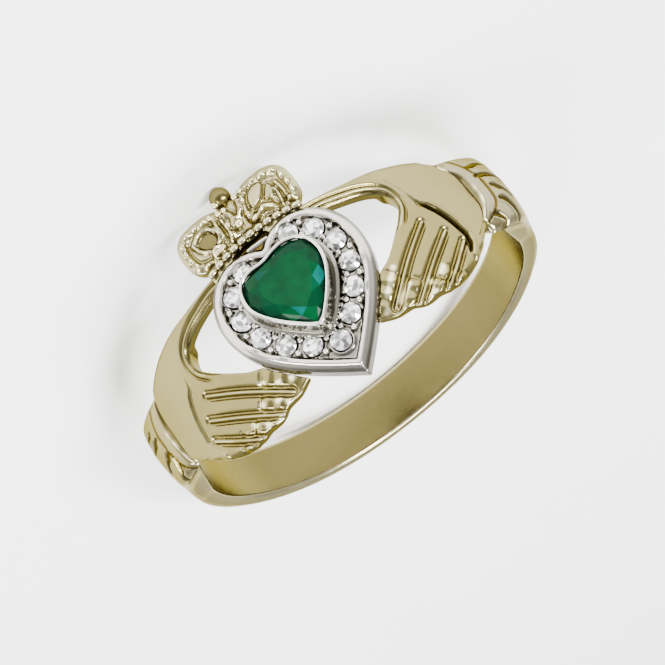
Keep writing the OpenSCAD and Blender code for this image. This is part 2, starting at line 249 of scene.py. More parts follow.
def node(tree, kind, **values):
    """A new node. values are its inputs' values or its settings."""
    made = tree.nodes.new(kind)
    for key, value in values.items():
        if key in made.inputs:
            made.inputs[key].default_value = value
        else:
            setattr(made, key, value)
    return made


def ramp(tree, source, stops):
    """Colours, or greys, by a number."""
    made = tree.nodes.new("ShaderNodeValToRGB")
    elements = made.color_ramp.elements
    while len(elements) < len(stops):
        elements.new(0.5)
    for element, (place, color) in zip(elements, stops):
        element.position = place
        element.color = (*color, 1) if len(color) == 3 else (color[0],) * 3 + (1,)
    tree.links.new(source, made.inputs["Fac"])
    return made


def noise(tree, **values):
    """A noise over the object's own coordinates."""
    place = node(tree, "ShaderNodeTexCoord")
    made = node(tree, "ShaderNodeTexNoise", **values)
    tree.links.new(place.outputs["Object"], made.inputs["Vector"])
    return made.outputs["Fac"]


def toward(tree, share, start, color):
    """A colour that goes from another node's to its own."""
    made = node(tree, "ShaderNodeMix", data_type="RGBA")
    tree.links.new(share.outputs["Color"], made.inputs["Factor"])
    tree.links.new(start, made.inputs[6])
    made.inputs[7].default_value = (*color, 1)
    return made.outputs[2]


def metal(name, colors, roughness, grain):
    """Cast and polished metal. Its tone goes from pale through bright and dull to deep, in soft random
    patches and by each point's painted shade.
    It gets tarnish and painted shade in its grooves and edge wear and painted highlights on its ridges,
    with fine polishing marks."""
    m, tree, shader = material(name, 1.0, colors["bright"], roughness)
    shader.inputs["Specular Tint"].default_value = (*colors["edge"], 1)
    patches = noise(tree, Scale=420.0, Detail=5.0, Roughness=0.6)
    # Besides the random patches, each point's tone carries painted shade and painted reflection: higher is
    # darker, lower is paler.
    tone_and_shade = node(tree, "ShaderNodeAttribute", attribute_name="tone_and_shade")
    patchy_tone_and_shade = node(tree, "ShaderNodeMath", operation="MULTIPLY_ADD")
    patchy_tone_and_shade.inputs[1].default_value = 0.3
    tree.links.new(patches, patchy_tone_and_shade.inputs[0])
    tree.links.new(tone_and_shade.outputs["Fac"], patchy_tone_and_shade.inputs[2])
    base = ramp(tree, patchy_tone_and_shade.outputs["Value"], [(0.0, colors["pale"]), (0.12, colors["bright"]),
                                                (0.6, colors["dull"]), (1.0, colors["deep"])])
    # Above nought this darkens the colour: tarnish and painted shade in grooves and cuts. Below nought it
    # pales it: edge wear and painted highlights.
    depth = node(tree, "ShaderNodeAttribute", attribute_name="tarnish_shade_and_sheen")
    dark = ramp(tree, depth.outputs["Fac"], [(0.08, (0, 0, 0)), (0.7, (1, 1, 1))])
    tarnished_and_shaded = toward(tree, dark, base.outputs["Color"], colors["tarnish_and_shade"])
    ridge = node(tree, "ShaderNodeMath", operation="MULTIPLY")
    ridge.inputs[1].default_value = -1.0
    tree.links.new(depth.outputs["Fac"], ridge.inputs[0])
    painted_highlight = ramp(tree, ridge.outputs["Value"], [(0.15, (0, 0, 0)), (0.85, (0.85, 0.85, 0.85))])
    tree.links.new(toward(tree, painted_highlight, tarnished_and_shaded, colors["wear_and_highlight"]), shader.inputs["Base Color"])
    fine = noise(tree, Scale=2600.0, Detail=6.0, Roughness=0.6)
    rough = ramp(tree, fine, [(0.3, (roughness * 0.75,)), (0.75, (roughness * 1.4,))])
    tree.links.new(rough.outputs["Color"], shader.inputs["Roughness"])
    relief = node(tree, "ShaderNodeBump", Strength=grain, Distance=0.00002)
    tree.links.new(fine, relief.inputs["Height"])
    tree.links.new(relief.outputs["Normal"], shader.inputs["Normal"])
    return m


# Ramp colours from pale to deep, then a dark brown for tarnish and painted shade in the grooves, a pale
# gold for edge wear and painted highlights, and the edges' tint.
gold = metal("yellow_gold_look", {
    "pale": (0.25, 0.232, 0.175), "bright": (0.245, 0.214, 0.102), "dull": (0.20, 0.170, 0.066),
    "deep": (0.108, 0.088, 0.030), "tarnish_and_shade": (0.075, 0.056, 0.012), "wear_and_highlight": (0.86, 0.79, 0.50),
    "edge": (0.50, 0.46, 0.32)}, roughness=0.2, grain=0.25)
# The same for the white metal: tarnish and painted shade in grooves, edge wear and painted highlights on
# ridges.
white = metal("white_gold_look", {
    "pale": (0.56, 0.54, 0.49), "bright": (0.56, 0.54, 0.49), "dull": (0.28, 0.27, 0.235),
    "deep": (0.16, 0.15, 0.13), "tarnish_and_shade": (0.055, 0.046, 0.03), "wear_and_highlight": (0.92, 0.91, 0.88),
    "edge": (0.6, 0.59, 0.56)}, roughness=0.14, grain=0.2)

green, green_tree, green_shader = material("green_stone_look", 0.0, (0.004, 0.15, 0.055), 0.04)
green_shader.inputs["IOR"].default_value = 1.55
green_shader.inputs["Specular IOR Level"].default_value = 0.04
# Each facet's colour is the stone's green with a painted reflection: near black, dark green, green and teal
# by the facet's tint.
tint_and_reflection = node(green_tree, "ShaderNodeAttribute", attribute_name="tint_and_reflection")
green_colors = ramp(green_tree, tint_and_reflection.outputs["Fac"], [
    (0.0, (0.0003, 0.006, 0.003)), (0.35, (0.0004, 0.022, 0.009)), (0.6, (0.0006, 0.045, 0.013)),
    (0.85, (0.0008, 0.040, 0.026)), (1.0, (0.0015, 0.075, 0.062))])
cloud_mix = node(green_tree, "ShaderNodeMix", data_type="RGBA", blend_type="MULTIPLY")
cloud_mix.inputs["Factor"].default_value = 0.45
cloud_shade = ramp(green_tree, noise(green_tree, Scale=1500.0, Detail=3.0), [
    (0.3, (0.45, 0.45, 0.5)), (0.7, (1.25, 1.25, 1.2))])
green_tree.links.new(green_colors.outputs["Color"], cloud_mix.inputs[6])
green_tree.links.new(cloud_shade.outputs["Color"], cloud_mix.inputs[7])
green_tree.links.new(cloud_mix.outputs[2], green_shader.inputs["Base Color"])

clear, clear_tree, clear_shader = material("clear_stone_look", 0.55, (0.95, 0.96, 0.97), 0.05)
clear_shader.inputs["IOR"].default_value = 2.2
# Each small stone's facets are painted dark or bright, a painted reflection.
clear_facet_reflection = node(clear_tree, "ShaderNodeAttribute", attribute_name="tint_and_reflection")
clear_colors = ramp(clear_tree, clear_facet_reflection.outputs["Fac"], [
    (0.0, (0.05, 0.05, 0.05)), (0.45, (0.34, 0.34, 0.33)), (0.7, (0.85, 0.86, 0.87)), (1.0, (1, 1, 1))])
clear_tree.links.new(clear_colors.outputs["Color"], clear_shader.inputs["Base Color"])


# Pieces


def piece(name, points, faces, look, replaces=(), values=None, flat=False):
    """A piece of the part from points in ring axes. values has the domain and numbers of attributes."""
    mesh = bpy.data.meshes.new(name)
    mesh.from_pydata(placed(points).tolist(), [], [tuple(f) for f in np.asarray(faces, object)])
    mesh.materials.append(look)
    mesh.polygons.foreach_set("use_smooth", [not flat] * len(mesh.polygons))
    for key, (domain, numbers) in (values or {}).items():
        attribute = mesh.attributes.new(key, "FLOAT", domain)
        attribute.data.foreach_set("value", np.asarray(numbers, np.float32))
    mesh.validate()
    made = bpy.data.objects.new(name, mesh)
    bpy.context.scene.collection.objects.link(made)
    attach(made, "root")
    if replaces:
        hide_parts(*replaces)


def metal_piece(name, points, quads, look, step, replaces, tone_and_shade, full, dark, light=0.0):
    """A piece of metal, with tarnish and painted shade in its hollows and edge wear and painted highlights
    on its ridges. full is the hollow, in steps, that is darkest. dark adds painted shade, and light painted
    highlights, to what the shape gives."""
    depth = hollows(points, quads) / (full * step)
    depth = np.clip(np.where(depth < 0, 2.2 * depth, depth) + dark - light, -1, 1)
    tone_and_shade = np.zeros(len(points)) + tone_and_shade
    piece(name, points, quads, look, replaces, {"tarnish_shade_and_sheen": ("POINT", depth), "tone_and_shade": ("POINT", tone_and_shade)})


def tube(m, n):
    """The quads between m closed rows of n points, and the faces at the two ends."""
    i, j = np.meshgrid(np.arange(m - 1), np.arange(n), indexing="ij")
    a, b = i * n + j, i * n + (j + 1) % n
    quads = np.stack([a, b, b + n, a + n], -1).reshape(-1, 4)
    return quads, [list(range(n))[::-1], [(m - 1) * n + k for k in range(n)]]


# Heart outlines, as the part has them


def heart_outline(distance, n=40):
    """The outline set in from the halo's by a distance, with n points to each of its four parts."""
    share = distance / RING_SPAN
    w = HALO_W + (STONE_W - HALO_W) * share
    lobe = HALO_LOBE + (STONE_LOBE - HALO_LOBE) * share
    tip = HALO_TIP + (STONE_TIP - HALO_TIP) * share
    mid = -0.05 + 0.15 * share
    k = 1.07 + 0.38 * share
    c = 0.37 * w
    start = math.acos(-c / (w - c))
    half = [(c + (w - c) * math.cos(start * (1 - i / n)),
             mid + (lobe - mid) * math.sin(start * (1 - i / n))) for i in range(n + 1)]
    half += [(w * math.cos(math.pi / 2 * (i / n) ** k),
              mid - (tip + mid) * i / n) for i in range(1, n + 1)]
    half[-1] = (0, half[-1][1])
    p = np.array(half + [(-x, y) for x, y in half[-2:0:-1]])
    c, s = math.cos(HEART_TURN), math.sin(HEART_TURN)
    return p @ np.array([[c, s], [-s, c]])


# The heart stone's own outline, fuller at the lobes than the halo's
STONE_EDGE = [
    (-1.55, 0.72), (-1.28, 0.88), (-0.85, 0.95), (-0.40, 0.88), (0.15, 1.03), (0.73, 1.08), (1.17, 0.93),
    (1.41, 0.74), (1.59, 0.46), (1.68, -0.01), (1.59, -0.51), (1.39, -0.95), (1.05, -1.44), (0.62, -1.94),
    (0.24, -2.32), (0.0, -2.5), (-0.22, -2.36), (-0.47, -2.14), (-0.98, -1.63), (-1.45, -1.04),
    (-1.77, -0.48), (-1.83, -0.04), (-1.74, 0.4)]
head_axes = axes_of((-4.2, -5.6), (4.2, 3.2), 0.03)
head_x, head_y = np.meshgrid(*head_axes, indexing="ij")
halo_map = polygon_distance(heart_outline(0), head_x, head_y)


# Hands. u runs over the surface from the head's middle, a along the finger, h up from the hole.

HAND_STEP = 0.035
# The outline: its upper side, the window's edge under the thumb, and the fingers' tips and lower side
OUTER = [(9.7, 1.56), (8.9, 1.66), (8.37, 1.79), (7.48, 2.07), (6.5, 2.29), (5.52, 2.4), (4.45, 2.4),
         (3.56, 2.46), (2.42, 2.56), (1.5, 2.6)]
INNER = [(1.5, 1.95), (2.4, 1.93), (3.10, 1.87), (3.70, 1.75), (4.34, 1.63), (4.93, 1.42), (5.30, 1.15),
         (5.44, 0.75), (5.42, 0.38), (5.13, 0.02), (4.57, -0.61), (4.09, -1.04), (3.65, -1.42),
         (3.22, -1.66), (2.6, -1.9), (1.3, -2.2)]
TIPS = [(1.2, -3.2), (1.64, -3.4), (2.06, -3.58), (2.42, -3.72), (2.85, -3.72), (3.17, -3.72),
        (3.4, -3.86), (3.72, -3.94), (4.1, -3.9), (4.36, -3.84), (4.81, -3.9), (5.1, -3.86),
        (5.6, -3.84), (6.2, -3.68), (6.8, -3.4), (7.3, -3.08), (7.8, -2.72), (8.7, -2.0), (9.7, -1.3)]
WINDOW = [(1.5, 1.9)] + INNER[1:] + [(0.5, -1.5), (0.5, 1.5)]
CREASE = [(5.75, 1.75), (6.15, 1.0), (6.4, 0.1), (6.62, -0.11), (6.85, -0.47), (7.08, -1.0),
          (7.22, -1.49), (7.33, -2.02), (7.22, -2.4), (6.88, -2.9)]
SEPARATORS = [[(5.85, -0.75), (4.35, -1.85), (2.62, -3.4)], [(6.5, -1.52), (5.0, -2.6), (3.45, -3.86)],
              [(6.95, -2.24), (5.9, -3.1), (4.85, -3.9)]]
# The middle of the line of knuckles, the way the fingers run from it, and the way across them
KNUCKLE = np.array([5.75, -0.87])
FINGER_WAY = np.array([-0.779, -0.627])
FINGER_SIDE = np.array([-0.627, 0.779])
# Each finger's middle across them, and how far along them its joints begin
FINGERS = [(0.5, 2.62), (-0.44, 2.55), (-1.22, 2.2), (-1.9, 1.5)]
# The crests of a finger's joints: how far on, half length and height
JOINTS = ((0.4, 0.24, 0.12), (0.98, 0.22, 0.12), (1.5, 0.2, 0.1))
# Painted highlights on the fingers, on the right hand and on the left
GLINTS = {
    1: [[(3.55, -1.9), (3.1, -2.35), (2.6, -2.84)], [(3.6, -2.88), (3.2, -3.12), (2.9, -3.33)],
        [(4.5, -3.2), (4.4, -3.26)], [(4.3, -3.66), (3.96, -3.79)], [(2.3, -3.3), (2.2, -3.36)],
        [(5.3, -2.9), (5.05, -3.1)]],
    -1: [[(3.5, -2.2), (3.36, -2.32)], [(2.88, -2.7), (2.76, -2.8)], [(2.3, -2.96), (2.2, -3.04)],
         [(4.03, -2.84), (3.9, -2.94)], [(3.3, -3.24), (3.2, -3.3)], [(3.02, -3.6), (2.94, -3.68)],
         [(4.85, -3.22), (4.7, -3.34)], [(4.3, -3.65), (4.2, -3.7)], [(3.78, -3.86), (3.68, -3.9)]]}


# The grooves at the front and the back of each cuff, right and left: degrees from the head, how much they
# bend up the finger and from where, and the same down the finger
FRONTS = {1: (52.2, 3.4, 0.4, 2.4, -0.45), -1: (50.9, 1.3, 0.0, 8.0, -1.5)}
BACKS = {1: (56.3, 1.25, 0.0, 5.5, -0.7), -1: (54.9, 1.2, 0.0, 4.2, -1.2)}


def cuff_line(line, y):
    """Where a cuff's groove runs, in degrees from the head."""
    top, up, above, down, below = line
    return top - up * np.maximum(y - above, 0) ** 2 - down * np.minimum(y - below, 0) ** 2


def cuff_front(a, side):
    """Where the hand ends at its cuff, as u."""
    return np.maximum(math.radians(1) * HAND_R * cuff_line(FRONTS[side], a), 7.9)


def hand_top(u, a, bold, side):
    """Height of the hand's surface over the finger hole, with its tone and painted shade, and the painted
    shade in its cuts.
    bold deepens the line of the knuckles."""
    top = HAND_TOP + 0.06 * bump(u, 7.4, 1.3) * bump(a, 0, 1.8)
    plate = polygon_distance(CREASE + [(7.0, -4.9), (10.4, -4.9), (10.4, 3.5), (5.6, 3.5)], u, a)
    step = smooth(0.9, 0.0, a) * 0.7 + 0.3
    fade = np.exp(-np.maximum(plate, 0) / 0.9)
    top -= (0.05 + 0.06 * bold) * step * smooth(-0.02, 0.09, plate) * fade
    line = smooth(0.35, -0.15, a) * smooth(-3.0, -2.5, a)
    top -= (0.03 + 0.17 * bold) * line * bump(plate, 0.03, 0.06)
    top += (0.01 + 0.04 * bold) * line * bump(plate, -0.1, 0.08)
    # fingers: a raised wire between two grooves divides them
    near = np.full(u.shape, 9.0)
    for way in SEPARATORS:
        d = path_distance(curve(way), u, a)
        top = top + 0.07 * bump(d, 0, 0.08) - 0.08 * bump(d, 0.17, 0.07)
        near = np.minimum(near, d)
    f, g = [(u - KNUCKLE[0]) * way[0] + (a - KNUCKLE[1]) * way[1] for way in (FINGER_WAY, FINGER_SIDE)]
    on_fingers = smooth(0.0, 0.5, f) * smooth(1.3, 1.1, g)
    top += 0.04 * on_fingers * smooth(0.12, 0.4, near)
    for middle, first in FINGERS:
        across = np.sqrt(np.clip(1 - ((g - middle - 0.02 * f) / 0.5) ** 2, 0, 1))
        across *= smooth(0.08, 0.24, near)
        joints = -0.05 * bump(f, first, 0.09)
        for crest, size, height in JOINTS:
            joints += height * bump(f, first + crest, size)
        top += across * joints
    top -= 0.16 * smooth(3.5, 5.0, f) * smooth(-0.6, 1.0, g)
    # the border of the window, along the thumb and round its far end
    edge = polygon_distance(curve(WINDOW, True, 2), u, a)
    border = smooth(-0.75, -0.2, a) * smooth(7.2, 6.2, u)
    top += border * (0.06 * bump(edge, 0.23, 0.085) - 0.09 * bump(edge, 0.42, 0.06)
                     - 0.07 * bump(edge, 0.09, 0.05) - 0.05 * smooth(0.2, 0.0, edge))
    front = cuff_front(a, side)
    top -= 0.2 * smooth(front - 0.12, front, u)
    # Painted shade in the line of the knuckles, in the grooves beside the finger wires and in the border
    # groove of the window.
    dark = 0.95 * bold * line * bump(plate, 0.03, 0.07)
    dark += 0.1 * bump(near, 0.17, 0.07) * smooth(6.9, 6.4, u)
    dark += 0.4 * border * bump(edge, 0.42, 0.06)
    # Painted shade: the fingers and the strip beside the line of the knuckles are darker than the back of
    # the hand, and the right hand is paler than the left.
    beside = 0.12 * smooth(-0.05, 0.25, plate) * smooth(0.6, -0.4, a) * smooth(3.2, 1.4, f)
    tone_and_shade = 0.33 - 0.11 * bold + beside + 0.12 * smooth(0.0, 0.3, plate)
    return top, tone_and_shade, dark


def hand_field(u, a, h, bold, side):
    """The hand as a field of distances, with maps of its top, its tone and painted shade, the painted shade
    of its cuts and its painted highlights.
    """
    outer = [(at, up + 0.1 * side * float(smooth(7.0, 8.2, at))) for at, up in OUTER]
    outline = curve(outer + INNER + TIPS, True, 2)
    flat_axes = axes_of((0.8, -4.9), (9.9, 3.2), 0.03)
    flat_map = polygon_distance(outline, *np.meshgrid(*flat_axes, indexing="ij"))
    r = BORE_R + h
    x = r * np.sin(u / HAND_R)
    straight = HAND_R * np.arcsin(np.clip(x / (HAND_R + 0.05), -1, 1))
    by_fingers = smooth(-0.5, -1.5, a) * smooth(5.0, 6.0, u)
    straight += (u - straight) * by_fingers
    d = sample(flat_map, flat_axes, straight, a)
    top, tone_and_shade, dark = hand_top(u[:, :, 0], a[:, :, 0], bold, side)
    edge = 0.16 + 0.16 * smooth(5.0, 6.5, u) + 0.12 * smooth(-2.4, -3.0, a) * smooth(5.0, 6.0, u)
    # thinner under the fingers and the thumb
    foot = 0.75 * smooth(-1.0, -2.4, a) * smooth(8.3, 7.2, u)
    foot += 0.3 * smooth(8.4, 7.2, u)
    foot += 0.5 * smooth(5.9, 5.2, u) * smooth(0.9, 1.4, a)
    field = smax(smax(d, h - top[:, :, None], edge), foot - h, 0.12)
    # painted highlights along the paths of the glints
    painted_highlight = sum(bump(path_distance(path, u[:, :, 0], a[:, :, 0]), 0, 0.11) for path in GLINTS[side])
    field = smax(field, -sample(halo_map, head_axes, x, a), 0.04)
    return field, top, tone_and_shade, dark, np.minimum(painted_highlight, 1)


hand_axes = axes_of((1.2, -4.4, -0.08), (9.4, 2.9, 1.9), HAND_STEP)
hand_grid = np.meshgrid(*hand_axes, indexing="ij")
for side, name, bold in ((1, "right_hand", 1.0), (-1, "left_hand", 0.15)):
    field, *maps = hand_field(*hand_grid, bold, side)
    points, quads = surface(field, hand_axes)
    u, a, h = points.T
    top, tone_and_shade, dark, light = [sample(m, hand_axes[:2], u, a) for m in maps]
    # The painted shade and painted highlights go only on the hand's top.
    on_top = smooth(top - 0.2, top - 0.1, h)
    radius = BORE_R + h
    ring = np.stack([side * radius * np.sin(u / HAND_R), a, radius * np.cos(u / HAND_R)], 1)
    metal_piece(name, ring, quads[:, ::side], gold, HAND_STEP, ["band"], tone_and_shade, 0.6,
                dark * on_top, light * on_top)


# The band with its cuffs and the engraved strokes behind them

cuff_turn = math.radians(CUFF_ANGLE)
cuff_at = (BORE_R + CUFF_TOP) * np.array([math.sin(cuff_turn), math.cos(cuff_turn)])
SHOULDER_R = float(np.hypot(cuff_at[0], cuff_at[1] - SHOULDER_SHIFT))
# The strokes engraved on each cuff, right and left, as degrees from the head and places along the finger
STROKES = {
    1: [[(55.8, 1.01), (59.7, 1.12), (62.7, 1.03)], [(55.2, 0.42), (59.1, 0.46), (61.5, 0.3), (63.7, 0.07)],
        [(57.8, -0.16), (60.4, -0.35), (63.2, -0.83)],
        [(57.7, -0.86), (59.8, -1.0), (61.2, -1.4), (61.4, -1.9)],
        [(53.4, -1.5), (55.4, -1.6), (56.4, -1.9), (55.8, -2.1), (54.0, -2.2)]],
    -1: [[(57.4, 0.83), (59.2, 0.75), (61.0, 0.7)], [(56.2, 0.33), (59.8, 0.15), (61.5, 0.1)],
         [(55.1, -0.53), (58.4, -0.68), (61.0, -1.0)], [(54.7, -0.97), (57.3, -1.48), (59.2, -1.75)]]}
# A degree's length over the cuffs
DEGREE = 0.178
# Radius of the flare behind each cuff, right and left, by degrees from the head
FLARES = {
    1: [(46, 9.6), (50.9, 10.2), (53, 10.32), (56, 10.42), (59, 10.5), (61.5, 10.53), (64, 10.46),
        (67, 10.33), (70, 10.18), (74, 9.96), (78, 9.79), (82, 9.66), (86, 9.6)],
    -1: [(46, 9.6), (50.9, 10.2), (53, 10.3), (56, 10.36), (59, 10.4), (61.5, 10.39), (64, 10.3),
         (67, 10.14), (70, 9.98), (74, 9.8), (78, 9.63), (82, 9.5), (86, 9.4)]}
FLARE_END = 86
# Half widths up the finger, by height towards the head, and how much wider the cuffs are down it
HALF_WIDTHS = [(-9.6, 1.3), (-8.64, 1.3), (-3.84, 1.27), (0.96, 1.3), (2.88, 1.46), (4.32, 1.68),
               (5.38, 1.82), (9.6, 1.82)]
LOWER_WIDER = [(-9.6, 0.0), (-8.64, 0.0), (-3.84, -0.15), (0.96, -0.1), (2.88, 0.04), (4.32, 0.22),
               (5.38, 0.32), (9.6, 0.32)]


def by_height(rows, degrees):
    """A width from a table of heights, with the table's corners smoothed."""
    spread = np.linspace(-0.7, 0.7, 9)
    return float(np.mean(np.interp(math.cos(math.radians(degrees)) * BAND_R + spread, *zip(*rows))))


def band_relief(degrees, y, way):
    """Height of the cuff's details over the band's own surface, with the painted shade in its cuts and a
    painted highlight.
    """
    front = cuff_line(FRONTS[way], y) - 0.1
    back = cuff_line(BACKS[way], y) - 0.5
    rise = CUFF_RISE * smooth(front - 0.1, front + 0.45, degrees)
    rise *= 1 - 0.3 * smooth(back, back + 1.2, degrees)
    rise *= smooth(72, 60, degrees)
    rise -= 0.35 * smooth(front - 0.1, front - 0.6, degrees)
    rise = rise - 0.05 * bump(degrees, front + 1.25, 0.22) + 0.03 * bump(degrees, front + 0.8, 0.25)
    rise -= 0.06 * bump(degrees, back + 0.5, 0.5)
    # painted shade in the grooves at the front and the back of the cuff
    dark = 0.9 * bump(degrees, back + 0.65, 0.5) + 0.8 * bump(degrees, front, 0.4)
    # a low ridge with a painted highlight along the front of the lower half
    rope = bump(degrees, front + 0.5, 0.3) * smooth(0.2, -0.3, y) * (0.6 + 0.4 * np.cos(y * 9))
    rise += 0.02 * rope
    dark -= 1.1 * rope
    u, v = degrees * DEGREE, y
    for stroke in STROKES[way]:
        path = curve([(d * DEGREE, s) for d, s in stroke])
        d = path_distance(path, u, v)
        along = (degrees - stroke[0][0]) / (stroke[-2][0] - stroke[0][0] + 1e-6)
        wide = 0.06 + 0.06 * np.sin(np.pi * np.clip(along, 0.05, 0.95))
        rise = rise - 0.08 * bump(d, 0, wide) + 0.025 * bump(d, wide * 2.1, wide * 0.7)
        # painted shade in the stroke
        dark += 0.85 * bump(d, 0, wide * 1.15)
    return rise, np.clip(dark, -1, 1)


def band():
    """The band as sections from cuff to cuff. Each runs over the outside, round its upper side, back over
    the inside, and round its lower side."""
    side = np.concatenate([np.arange(48.4, 70, 0.2), np.arange(70, 90, 0.6)])
    around = np.concatenate([side, np.arange(90, 270, 1.25), 360 - side[::-1]])
    over, under = 64, 7
    v = np.linspace(-1, 1, over)
    rows, tones_and_shades, darks = [], [], []
    for degrees in around:
        d = min(degrees, 360 - degrees)
        way = 1 if degrees < 180 else -1
        turn = math.radians(d)
        shoulder = (SHOULDER_SHIFT * math.cos(turn)
                    + math.sqrt(SHOULDER_R ** 2 - (SHOULDER_SHIFT * math.sin(turn)) ** 2))
        spread = d + np.linspace(-1.2, 1.2, 9)
        flare = float(np.mean(np.interp(spread, *zip(*FLARES[way])))) if d < FLARE_END else 0
        crest = smax(np.array(BAND_R), np.array(shoulder), 0.12)
        crest = float(smax(crest, np.array(flare), 0.05)) - 0.015
        upper = by_height(HALF_WIDTHS, d) - 0.1 * float(smooth(50.5, 48.5, d))
        upper -= (0.26 * float(smooth(85, 62, d)) if way < 0 else 0)
        wider = by_height(LOWER_WIDER, d)
        lower = upper + wider - 0.7 * float(smooth(52.0, 49.0, d))
        bevel = 1.15 * float(smooth(84, 62, d))
        y = np.where(v < 0, v * lower, v * upper)
        rise, dark = band_relief(np.full(over, d), y, way)
        corner = 0.16 * np.clip((np.abs(v) - 0.86) / 0.14, 0, 1) ** 2.2
        r = crest - DOME * (y / 1.8) ** 2 + rise - corner
        # the two sides with their rounded corners, and the inside between them
        above = np.array([0.035, 0.045, 0.03, -0.01, -0.07])
        r_above = np.array([r[-1] - 0.06, r[-1] - 0.2, BORE_R + 0.12, BORE_R + 0.04, BORE_R + 0.005])
        depth = np.array([0.07, 0.2, r[0] - BORE_R - 0.12, r[0] - BORE_R - 0.04, r[0] - BORE_R - 0.005])
        below = above - bevel * depth / (r[0] - BORE_R)
        inner_y = np.linspace(upper + above[-1] - 0.1, -(lower + below[-1] - 0.1), under)
        ys = np.concatenate([y, upper + above, inner_y, -(lower + below)[::-1]])
        rs = np.concatenate([r, r_above, np.full(under, BORE_R), (r[0] - depth)[::-1]])
        t = math.radians(degrees)
        rows.append(np.stack([rs * math.sin(t), ys, rs * math.cos(t)], 1))
        darks.append(np.concatenate([dark, np.zeros(len(rs) - over)]))
        # Painted shade: the inside darkens towards the back, the edges of the inside are darker, and the
        # right side's outside is paler near the head.
        inner = 0.02 + 0.95 * float(smooth(80, 140, d))
        outer = 0.1 - (0.17 * float(smooth(100, 80, d)) if way > 0 else 0)
        tones_and_shades.append(np.concatenate([np.full(over + 4, outer), [0.4], np.full(under, inner), [0.4],
                                     np.full(4, outer)]))
    quads, ends = tube(len(rows), len(rows[0]))
    quads = quads[:, [0, 3, 2, 1]]
    points = np.concatenate(rows)
    # tarnish and painted shade in the hollows and cuts, painted highlights on the ridges
    depth = np.clip(hollows(points, quads) / 0.02 + np.concatenate(darks), -0.8, 1)
    piece("band_and_cuffs", points, quads.tolist() + ends, gold, ["band"],
          {"tarnish_shade_and_sheen": ("POINT", depth), "tone_and_shade": ("POINT", np.concatenate(tones_and_shades))})


band()


# The heart: halo, channel, bezel, grains


def along_outline(distance, offset, pitch, count):
    """Points along a heart outline, counted from its tip on both sides."""
    n = 120
    p = heart_outline(distance, n)
    made = []
    for side in (1, -1):
        walk = np.roll(p, -2 * n, 0)[::side]
        if side == -1:
            walk = np.roll(walk, 1, 0)
        lengths = np.concatenate([[0], np.cumsum(np.linalg.norm(np.diff(walk, axis=0), axis=1))])
        for k in range(count):
            made.append([np.interp(offset + pitch * k, lengths, w) for w in walk.T])
    return np.array(made)


MELEE_INSET = (CHANNEL_INSET + RING_SPAN - BEZEL_T - CHANNEL_EDGE) / 2
PART_N = 14
melee_path = heart_outline(MELEE_INSET, PART_N)
steps = np.linalg.norm(np.diff(np.vstack([melee_path, melee_path[:1]]), axis=0), axis=1)
side_length = steps[:2 * PART_N - 1].sum()
MELEE_PITCH = (side_length - TIP_BACK - LOBE_END) / (MELEE_SIDE + 0.25)
melee_sides = along_outline(MELEE_INSET, TIP_BACK + MELEE_PITCH, MELEE_PITCH, MELEE_SIDE)
melee_tip = along_outline(MELEE_INSET, 0.0, 1, 1)[0] + [0.0, TIP_BACK]
melee = [melee_tip]
for k in range(MELEE_SIDE):
    melee += [melee_sides[k], melee_sides[MELEE_SIDE + k]]

HEAD_STEP = 0.042


def heart_field(x, y, z):
    """The halo with its channel, and the bezel with its collar, as a field of distances."""
    flat = x[:, :, 0], y[:, :, 0]
    inset = -sample(halo_map, head_axes, *flat)
    stone = polygon_distance(curve(STONE_EDGE, True, 2), *flat)
    bezel_out, bezel_in = stone - 0.13, stone + 0.01
    top = HALO_RIM - 0.30 * smooth(0.26, 0.0, inset) - 0.02
    top -= (HALO_RIM - CHANNEL) * smooth(0.38, 0.56, inset)
    # bright cuts and hollows between the stones, and the holes drilled under them
    holes = -(stone + 0.3)
    for px, py in melee:
        d = np.hypot(flat[0] - px, flat[1] - py)
        top = top + 0.07 * bump(d, 0.48, 0.07) - 0.13 * smooth(0.44, 0.34, d)
        holes = np.maximum(holes, 0.27 - d)
    plate = smax(-inset[:, :, None], z - top[:, :, None], 0.06)
    plate = smax(plate, holes[:, :, None], 0.05)
    plate = smax(plate, HALO_FOOT - z, 0.05)
    lean = 0.12 * (BEZEL_TOP - z)
    wall = smax(bezel_out[:, :, None] - lean * 0.6, -bezel_in[:, :, None], 0.03)
    wall = smax(wall, z - BEZEL_TOP, 0.05)
    collar = np.abs(bezel_out[:, :, None] - 0.13)
    collar = np.hypot(collar, z - (CHANNEL + 0.12)) - 0.10
    field = smin(plate, smax(wall, HALO_FOOT - z, 0.05), 0.07)
    return smin(field, collar, 0.05)


def spheres(field, axes, centres, radius, k):
    """Adds balls to a field of distances, each in its own corner of the grid."""
    step = axes[0][1] - axes[0][0]
    reach = int((radius + k) / step) + 3
    for c in centres:
        at = [int((c[n] - axes[n][0]) / step) for n in range(3)]
        part = tuple(slice(max(i - reach, 0), i + reach) for i in at)
        gx, gy, gz = np.meshgrid(*[axes[n][part[n]] for n in range(3)], indexing="ij")
        ball = np.sqrt((gx - c[0]) ** 2 + (gy - c[1]) ** 2 + (gz - c[2]) ** 2) - radius
        field[part] = smin(field[part], ball, k)


